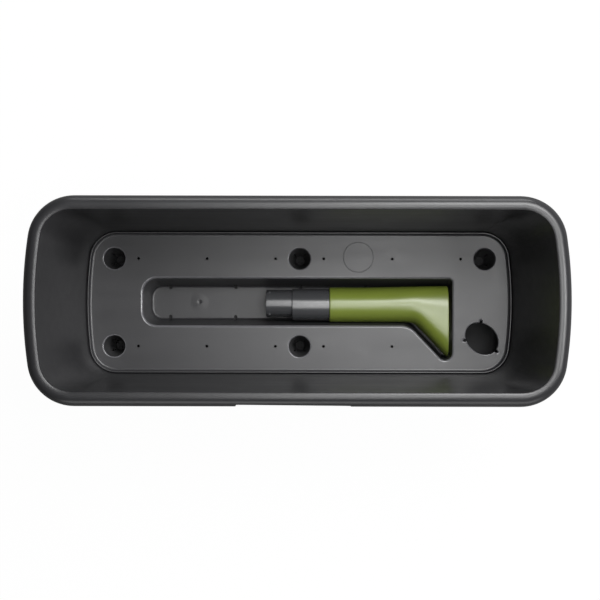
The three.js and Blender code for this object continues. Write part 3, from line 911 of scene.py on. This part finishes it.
def keyed_ring(grow, height):
    """The filler hole's outline: an ellipse with three key notches that stand out along its normal.

    A notch is a slot of parallel sides with a half round end. Between notches the ellipse's angle runs
    from the edge of one notch to the edge of the next.
    """
    halves = FILLER_HALVES + grow
    half_width = KEY_HALF_WIDTH + grow
    keys = np.radians(KEY_ANGLES)
    point = halves * np.column_stack((np.cos(keys), np.sin(keys)))
    normal = halves[::-1] * np.column_stack((np.cos(keys), np.sin(keys)))
    speed = np.linalg.norm(normal, axis=1)
    normal /= speed[:, None]
    tangent = np.column_stack((-normal[:, 1], normal[:, 0]))
    half_turn = half_width / speed
    tip_turn = KEY_TIP_TURNS[:, None]
    first = keys + half_turn
    last = np.roll(keys - half_turn, -1)
    last[-1] += 2 * np.pi
    spans = []
    for key in range(len(keys)):
        tip = point[key] + normal[key] * (KEY_DEPTH - KEY_HALF_WIDTH)
        bow = np.cos(tip_turn) * normal[key] + np.sin(tip_turn) * tangent[key]
        spans.append(tip + half_width * bow)
        angle = np.linspace(first[key], last[key], KEY_SPAN_STEPS)
        spans.append(halves * np.column_stack((np.cos(angle), np.sin(angle))))
    turn = np.radians(FILLER_TURN)
    turned = np.vstack(spans) @ ((np.cos(turn), np.sin(turn)), (-np.sin(turn), np.cos(turn)))
    return level(turned + FILLER_PLACE, height)


def filler_collar(skin, size):
    """The filler hole's collar: rounded at the plate, straight below, and hemmed at its lower edge."""
    low = size.plate - COLLAR_DEPTH
    under = size.plate - size.sheet
    half = size.sheet / 2
    edge = arc((FILLER_EDGE, size.plate - FILLER_EDGE), FILLER_EDGE, 90, 180, steps=6)
    hem = arc((half, low + half), half, 180, 360, steps=6)
    root = arc((size.sheet + SMALL_ROUND, under - SMALL_ROUND), SMALL_ROUND, 180, 90, steps=4)
    rows = np.stack([keyed_ring(grow, height) for grow, height in np.vstack((edge, hem, root))])
    skin.grid(rows)
    return rows[0], rows[-1]


def stamp_ring(skin, size):
    """A plain raised circle on the plate: a low half round carried round a circle."""
    relief = arc((STAMP_RADIUS, size.plate), STAMP_RELIEF, 0, 180, steps=6)
    rows = revolve(STAMP_PLACE, relief, whole_turn(STAMP_STEPS))
    skin.grid(rows)
    skin.flat([rows[-1]])
    return rows[0]


def gate_mark(skin, size):
    """The sprue's mark on the recess floor: a low swelling with a dimple.

    The swelling is its rise times the square of 1 less the squared share of its radius; the dimple is a
    bell curve. The rows crowd towards the middle as a power of their share.
    """
    radius = GATE_RADIUS * np.linspace(1, 0, GATE_ROWS) ** GATE_CROWDING
    swelling = GATE_RISE * (1 - (radius / GATE_RADIUS) ** 2) ** 2
    height = size.recess_floor + swelling - GATE_DIP * np.exp(-((radius / GATE_DIMPLE) ** 2))
    rows = revolve(GATE_PLACE, np.column_stack((radius, height)), whole_turn(GATE_STEPS))
    skin.grid(rows)
    return rows[0]


def recess_slots(skin, faces):
    """The recess wall's two faces, pierced at the foot by drain slots.

    The edge of a slot runs down the wall, over the floor to a half ellipse, and up again. A strip joins
    the edges on the two faces. Returns the floor's two outlines, which run round the slots.
    """
    slots = len(SLOT_X)
    facing = np.repeat((1, -1), slots)[:, None]
    middle = np.concatenate((SLOT_X, SLOT_X[::-1]))[:, None]
    end = np.repeat(SLOT_ENDS, slots)[:, None]
    turn = np.radians(np.linspace(0, 180, SLOT_STEPS + 1))
    end_x = middle - facing * SLOT_HALF_WIDTH * np.cos(turn)
    end_y = end - facing * SLOT_ROUND * (1 - np.sin(turn))
    front = FRONT_SIDE + 2 * np.arange(slots)
    columns = np.concatenate((front, front + 2 * slots + BACK_SIDE - FRONT_SIDE))
    top = row_at(faces[0], SLOT_TOP)
    keep = np.ones((len(faces[0]) - 1, faces[0].shape[1]), bool)
    keep[top:, columns] = False
    outlines = []
    edges = []
    for face in faces:
        skin.grid(face, keep=keep)
        ends = np.stack((end_x, end_y, np.full(end_x.shape, face[-1, 0, 2])), axis=-1)
        after = np.repeat(columns + 1, len(turn))
        outlines.append(np.insert(face[-1], after, ends.reshape(-1, 3), axis=0))
        down = face[top:, columns].swapaxes(0, 1)
        up = face[: top - 1 : -1, columns + 1].swapaxes(0, 1)
        edges.append(np.concatenate((down, ends, up), axis=1))
    for pair in zip(*edges):
        skin.grid(np.stack(pair))
    return outlines


def insert_skin(size):
    """The insert: lip, plate, recess, wells and filler collar as one sheet with two faces."""
    skin = Skin()
    under = size.plate - size.sheet
    lip_crest = size.lip_top - LIP_ROUND
    foot = arc((LIP_FOOT_INSET, under + LIP_FOOT_RADII[1]), LIP_FOOT_RADII, -90, -180)
    top_out = arc((LIP_SETBACK + LIP_ROUND, lip_crest), LIP_ROUND, 180, 90, steps=5)
    top_in = arc((LIP_WIDTH - LIP_ROUND, lip_crest), LIP_ROUND, 90, 0, steps=5)
    fillet = arc((LIP_FILLET_INSET, size.plate + LIP_FILLET), LIP_FILLET, 180, 270)
    inset, height = np.vstack((foot, top_out, top_in, fillet)).T
    widest = np.array((size.reach, size.half_width, LIP_CORNER, LIP_BOW))
    lip = plan_rows(np.column_stack((widest - inset[:, None], height)), LIP_PLACES)
    skin.grid(lip)
    upper = [lip[-1]]
    lower = [lip[0]]

    inner_recess = recess_wall(size, 0)
    outer_recess = recess_wall(size, size.sheet)
    upper.append(inner_recess[0])
    lower.append(outer_recess[0])
    inner_floor, outer_floor = recess_slots(skin, (inner_recess, outer_recess))
    skin.flat([inner_floor, gate_mark(skin, size)])
    skin.flat([outer_floor])

    pairs = [well(skin, size, place) for place in WELL_PLACES]
    pairs.append(filler_collar(skin, size))
    for x in DRIP_X:
        for y in (-DRIP_Y, DRIP_Y):
            if y > 0 or x < DRIP_X[-1]:
                ends = (size.plate, under)
                pairs.append([ring((x, y), size.drip, end, DRIP_STEPS) for end in ends])
                skin.grid(np.stack(pairs[-1]))
    upper.extend(pair[0] for pair in pairs)
    lower.extend(pair[1] for pair in pairs)
    upper.append(stamp_ring(skin, size))
    skin.flat(upper)
    skin.flat(lower)
    return skin


def pipe_rows(x, centre_y, half_y, half_z, power=2.0):
    """Sections across X: cosine and sine raised to 2 over the power; a power of 2 makes an ellipse."""
    sections = np.broadcast_arrays(x, centre_y, half_y, half_z, power)
    x, centre_y, half_y, half_z, power = np.stack(sections)[:, :, None]
    angle = whole_turn(PIPE_STEPS)
    across = signed_power(np.cos(angle), 2 / power)
    upwards = signed_power(np.sin(angle), 2 / power)
    y = centre_y + half_y * across
    return np.stack((np.broadcast_to(x, y.shape), y, PIPE_Z + half_z * upwards), axis=-1)


def tube_skin(size):
    """The tube: foot, shoulder and body outside and again inside, with rounded ends, as one closed wall.

    The shoulders grow from foot to body as a smooth step.
    """
    half = size.wall / 2
    start, start_inset = arc((TUBE_LOW.x + half, -half), half, 270, 90, steps=10).T
    end, end_inset = arc((TUBE_HIGH.x - half, -half), half, 90, -90, steps=10).T
    shoulder = TUBE_SHOULDER + SHOULDER_LENGTH * SHOULDER_RISE
    bore_shoulder = TUBE_SHOULDER + BORE_SHOULDER_SHIFT + BORE_SHOULDER_LENGTH * SHOULDER_RISE[::-1]
    growth = smooth(SHOULDER_RISE)
    outside = np.zeros(len(growth))
    x = np.concatenate((start, shoulder, end, bore_shoulder))
    inset = np.concatenate((start_inset, outside, end_inset, outside - size.wall))
    grown = np.concatenate((np.zeros(len(start)), growth, np.ones(len(end)), growth[::-1]))
    halves = TUBE_FOOT + (TUBE_BODY - TUBE_FOOT) * grown[:, None] + inset[:, None]
    skin = Skin()
    centre_y = PIPE_Y + FOOT_SHIFT * (1 - grown)
    skin.grid(pipe_rows(x, centre_y, halves[:, 0], halves[:, 1]), loop=True)
    for degrees in KEY_ANGLES:
        tube_lug(skin, np.radians(degrees))
    return skin


def tube_lug(skin, turn):
    """A key lug on the tube's foot: a dome over a rounded rectangle, set along the foot's normal.

    Seen from outside it is a superellipse, whose cosine and sine are raised to one half. Its profile gives
    the share of that outline at each height.
    """
    foot_y = PIPE_Y + FOOT_SHIFT
    foot = np.array((foot_y + TUBE_FOOT[0] * np.sin(turn), PIPE_Z - TUBE_FOOT[1] * np.cos(turn)))
    normal = np.array((np.sin(turn) / TUBE_FOOT[0], -np.cos(turn) / TUBE_FOOT[1]))
    normal /= np.linalg.norm(normal)
    tangent = np.array((-normal[1], normal[0]))
    angle = whole_turn(LUG_STEPS)
    share = LUG_SHARES[:, None]
    height = LUG_RISES[:, None]
    along = share * LUG_HALF_LENGTH * signed_power(np.cos(angle), SOFT_SQUARE)
    aside = share * LUG_HALF_WIDTH * signed_power(np.sin(angle), SOFT_SQUARE)
    rows = np.stack(
        (
            TUBE_LOW.x + LUG_SETBACK + along,
            foot[0] + normal[0] * height + tangent[0] * aside,
            foot[1] + normal[1] * height + tangent[1] * aside,
        ),
        axis=-1,
    )
    skin.grid(rows)


def spout_sections(x, inset, size):
    """Centre, halves and power of the spout's sections at places along X.

    The lower edge is a straight line that bends softly into a slant: the slant times the softness times
    the logarithm of 1 plus e to the distance past the bend over the softness. The upper edge rises as a
    smooth step, and the power grows with the cube of that step.
    """
    socket_low = PIPE_Y - SPOUT_HALF_Y
    socket_high = PIPE_Y + SPOUT_HALF_Y
    bend, full_bend = (
        FLARE_SOFTNESS * np.log1p(np.exp((place - FLARE_START) / FLARE_SOFTNESS))
        for place in (x, SPOUT_HIGH.x)
    )
    low = socket_low + (SPOUT_LOW.y - socket_low) * bend / full_bend
    flare = smooth((x - SOCKET_END) / (SPOUT_HIGH.x - SOCKET_END))
    high = socket_high + (SPOUT_HIGH.y - socket_high) * flare
    half_z = (SPOUT_HIGH.z - SPOUT_LOW.z) / 2
    power = 2 + (size.mouth_power - 2) * flare**3
    return (low + high) / 2, (high - low) / 2 - inset, half_z - inset, power


def spout_skin(size):
    """The spout: flared outside, a bore inside, and a socket that takes the tube, as one closed wall."""
    half = size.wall / 2
    lead = SPOUT_HIGH.z - PIPE_Z - TUBE_BODY[1] - SOCKET_GAP
    lead_end = SPOUT_LOW.x + lead
    mouth_start = SPOUT_HIGH.x - half
    lead_x, lead_out = arc((lead_end, -lead), lead, 180, 90, steps=6).T
    outside = np.linspace(lead_end, mouth_start, SPOUT_ROWS)[1:-1]
    mouth_x, mouth_out = arc((mouth_start, -half), half, 90, -90).T
    bore = np.linspace(mouth_start, SOCKET_END + BORE_START, BORE_ROWS)[1:]
    x = np.concatenate((lead_x, outside, mouth_x, bore))
    bore_inset = np.full(len(bore), size.wall)
    inset = np.concatenate((-lead_out, np.zeros(len(outside)), -mouth_out, bore_inset))
    rows = pipe_rows(x, *spout_sections(x, inset, size))
    bevel, bevel_grow = SOCKET_BEVEL
    socket_x = np.array((SOCKET_END, SOCKET_END - SOCKET_STOP, SPOUT_LOW.x + bevel, SPOUT_LOW.x))
    socket_halves = TUBE_BODY[:, None] + SOCKET_GAP + np.array((0, 0, 0, bevel_grow))
    socket = pipe_rows(socket_x, PIPE_Y, *socket_halves)
    skin = Skin()
    skin.grid(np.concatenate((rows, socket)), loop=True)
    return skin


def plug_skin():
    """The drain plug: a turned flange and stem, with a flat grip that stands on the flange.

    The grip's outline is the cosine and sine, each raised to a power of its own. Its top is rounded: the
    outline's share is the root of a cosine while the height follows the sine.
    """
    radius = (PLUG_HIGH.x - PLUG_LOW.x) / 2
    stem = DRAIN_RADIUS - PLUG_GAP
    under = PLUG_LOW.z + PLUG_STEM
    top = under + FLANGE
    tip_centre = (stem - PLUG_STEM_TAPER, PLUG_LOW.z + SMALL_ROUND)
    section = np.vstack(
        (
            (0, PLUG_LOW.z),
            arc(tip_centre, SMALL_ROUND, -90, 0, steps=4),
            (stem, under),
            arc((radius - SMALL_ROUND, under + SMALL_ROUND), SMALL_ROUND, -90, 0, steps=5),
            arc((radius, top) - FLANGE_RADII, FLANGE_RADII, 0, 90, steps=5),
            (0, top),
        )
    )
    skin = Skin()
    skin.grid(revolve(DRAIN_PLACE, section, whole_turn(PLUG_STEPS)))
    angle = whole_turn(GRIP_STEPS)
    share = np.concatenate(((0, 1, 1), np.sqrt(np.cos(GRIP_RISE))))[:, None]
    grip_low = top - GRIP_SINK
    round_low = PLUG_HIGH.z - GRIP_ROUND
    straight = (grip_low, grip_low, round_low)
    height = np.concatenate((straight, round_low + GRIP_ROUND * np.sin(GRIP_RISE)))[:, None]
    x = DRAIN_PLACE[0] + GRIP_HALVES[0] * share * signed_power(np.cos(angle), GRIP_POWERS[0])
    y = DRAIN_PLACE[1] + GRIP_HALVES[1] * share * signed_power(np.sin(angle), GRIP_POWERS[1])
    skin.grid(np.stack((x, y, np.broadcast_to(height, x.shape)), axis=-1))
    return skin


def set_in_frame(piece, material, node, body):
    """Gives a piece its finish, and puts it in the place of its node on that node's body."""
    piece.data.materials.append(material)
    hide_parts(node)
    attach(piece, body)


class PLANTER_OT_trough(Operator):
    """Make the outer trough"""

    bl_idname = "planter.trough"
    bl_label = "Trough"

    def execute(self, context):
        planter = context.scene.planter
        piece = trough_skin(planter.trough).build("trough_shell")
        finishes = planter.finishes
        look = (finishes.trough, finishes.trough_gloss, finishes.specular)
        # painted shade darkens the floor and the foot of the walls under the insert
        finish = moulded_plastic("trough_plastic", *look, shade_under_insert)
        set_in_frame(piece, finish, "trough", "trough")
        return {"FINISHED"}


class PLANTER_OT_insert(Operator):
    """Make the lift-out insert"""

    bl_idname = "planter.insert"
    bl_label = "Insert"

    def execute(self, context):
        planter = context.scene.planter
        piece = insert_skin(planter.insert).build("insert_tray")
        finishes = planter.finishes
        look = (finishes.insert, finishes.insert_gloss, finishes.insert_specular)
        # painted shade darkens the wells; the worn edges get a painted highlight
        finish = moulded_plastic("insert_plastic", *look, shade_in_wells, worn_highlit_edges)
        set_in_frame(piece, finish, "insert", "insert")
        return {"FINISHED"}


class PLANTER_OT_tube(Operator):
    """Make the lower half of the filler pipe"""

    bl_idname = "planter.tube"
    bl_label = "Tube"

    def execute(self, context):
        planter = context.scene.planter
        piece = tube_skin(planter.pipe).build("filler_tube")
        finishes = planter.finishes
        look = (finishes.tube, finishes.tube_gloss, finishes.tube_specular)
        finish = moulded_plastic("tube_plastic", *look)
        set_in_frame(piece, finish, "fill_tube", "tube")
        return {"FINISHED"}


class PLANTER_OT_spout(Operator):
    """Make the flared spout of the filler pipe"""

    bl_idname = "planter.spout"
    bl_label = "Spout"

    def execute(self, context):
        planter = context.scene.planter
        piece = spout_skin(planter.pipe).build("filler_spout")
        finishes = planter.finishes
        look = (finishes.spout, finishes.spout_gloss, finishes.spout_specular)
        finish = moulded_plastic("spout_plastic", *look)
        set_in_frame(piece, finish, "fill_spout", "spout")
        return {"FINISHED"}


class PLANTER_OT_plug(Operator):
    """Make the drain plug"""

    bl_idname = "planter.plug"
    bl_label = "Drain plug"

    def execute(self, context):
        planter = context.scene.planter
        piece = plug_skin().build("drain_stopper")
        finishes = planter.finishes
        look = (finishes.plug, finishes.trough_gloss, finishes.specular)
        finish = moulded_plastic("plug_plastic", *look)
        set_in_frame(piece, finish, "drain_plug", "plug")
        return {"FINISHED"}


def white_floor():
    """Pale floor that the camera sees as white, but for a trace of the shadow on it."""
    finish = Finish(bpy.data.materials.new("floor_white"))
    camera = finish.node("ShaderNodeLightPath", {}, {}, "Is Camera Ray")
    shade = finish.blend(camera, FLOOR_BOUNCE, FLOOR_SHADE)
    pale = finish.node("ShaderNodeBsdfDiffuse", {}, {"Color": shade})
    glow = finish.node("ShaderNodeEmission", {}, {"Color": WHITE, "Strength": 1})
    inputs = {0: camera * FLOOR_WHITE, 1: pale, 2: glow}
    return finish.close(finish.node("ShaderNodeMixShader", {}, inputs))


def studio_world():
    """Dim even light all round, in place of which the camera sees white."""
    finish = Finish(bpy.data.worlds.new("studio"))
    camera = finish.node("ShaderNodeLightPath", {}, {}, "Is Camera Ray")
    dim = finish.node("ShaderNodeBackground", {}, {"Color": AMBIENT, "Strength": 1})
    white = finish.node("ShaderNodeBackground", {}, {"Color": WHITE, "Strength": 1})
    surface = finish.node("ShaderNodeMixShader", {}, {0: camera, 1: dim, 2: white})
    return finish.close(surface, "ShaderNodeOutputWorld")


def soft_lamp(name, place, aim, size, power):
    """A rectangular lamp at a place, turned to face its aim."""
    data = bpy.data.lights.new(name, "AREA")
    data.shape = "RECTANGLE"
    data.size, data.size_y = size
    data.energy = power
    lamp = bpy.data.objects.new(name, data)
    bpy.context.scene.collection.objects.link(lamp)
    lamp.location = place
    lamp.rotation_euler = (Vector(place) - Vector(aim)).to_track_quat("Z", "Y").to_euler()
    lamp.visible_camera = False


class PLANTER_OT_studio(Operator):
    """Set the floor, lamps, world and camera"""

    bl_idname = "planter.studio"
    bl_label = "Studio"

    def execute(self, context):
        scene = context.scene
        corners = np.array(((-1, -1), (1, -1), (1, 1), (-1, 1))) * FLOOR_REACH
        mesh = bpy.data.meshes.new("floor")
        mesh.from_pydata(level(corners, FLOOR_LEVEL).tolist(), [], [(0, 1, 2, 3)])
        floor = bpy.data.objects.new("floor", mesh)
        mesh.materials.append(white_floor())
        scene.collection.objects.link(floor)
        scene.world = studio_world()
        for lamp in LAMPS:
            soft_lamp(*lamp)

        data = bpy.data.cameras.new("above")
        data.sensor_width = SENSOR
        data.lens = FOCUS_PIXELS / PICTURE * SENSOR
        shift = (PICTURE / 2 - NADIR_PIXEL) / PICTURE
        data.shift_x = shift[0]
        data.shift_y = -shift[1]
        camera = bpy.data.objects.new("above", data)
        scene.collection.objects.link(camera)
        camera.location = CAMERA_PLACE
        camera.rotation_euler.z = CAMERA_ROLL
        scene.camera = camera
        scene.view_settings.view_transform = "Standard"
        return {"FINISHED"}


class PLANTER_PT_panel(Panel):
    """Lists the planter's operators"""

    bl_label = "Planter trough"
    bl_idname = "PLANTER_PT_panel"
    bl_space_type = "VIEW_3D"
    bl_region_type = "UI"
    bl_category = "Planter"

    def draw(self, context):
        for operator in OPERATORS:
            self.layout.operator(operator.bl_idname)


SETTINGS = (TroughSizes, InsertSizes, PipeSizes, Finishes, Planter)
OPERATORS = (
    PLANTER_OT_trough,
    PLANTER_OT_insert,
    PLANTER_OT_tube,
    PLANTER_OT_spout,
    PLANTER_OT_plug,
    PLANTER_OT_studio,
)


def register():
    for member in (*SETTINGS, *OPERATORS, PLANTER_PT_panel):
        bpy.utils.register_class(member)
    bpy.types.Scene.planter = PointerProperty(type=Planter)


def unregister():
    del bpy.types.Scene.planter
    for member in (PLANTER_PT_panel, *reversed(OPERATORS), *reversed(SETTINGS)):
        bpy.utils.unregister_class(member)


def main():
    register()
    bpy.ops.planter.trough()
    bpy.ops.planter.insert()
    bpy.ops.planter.tube()
    bpy.ops.planter.spout()
    bpy.ops.planter.plug()
    bpy.ops.planter.studio()


if __name__ == "__main__":
    main()
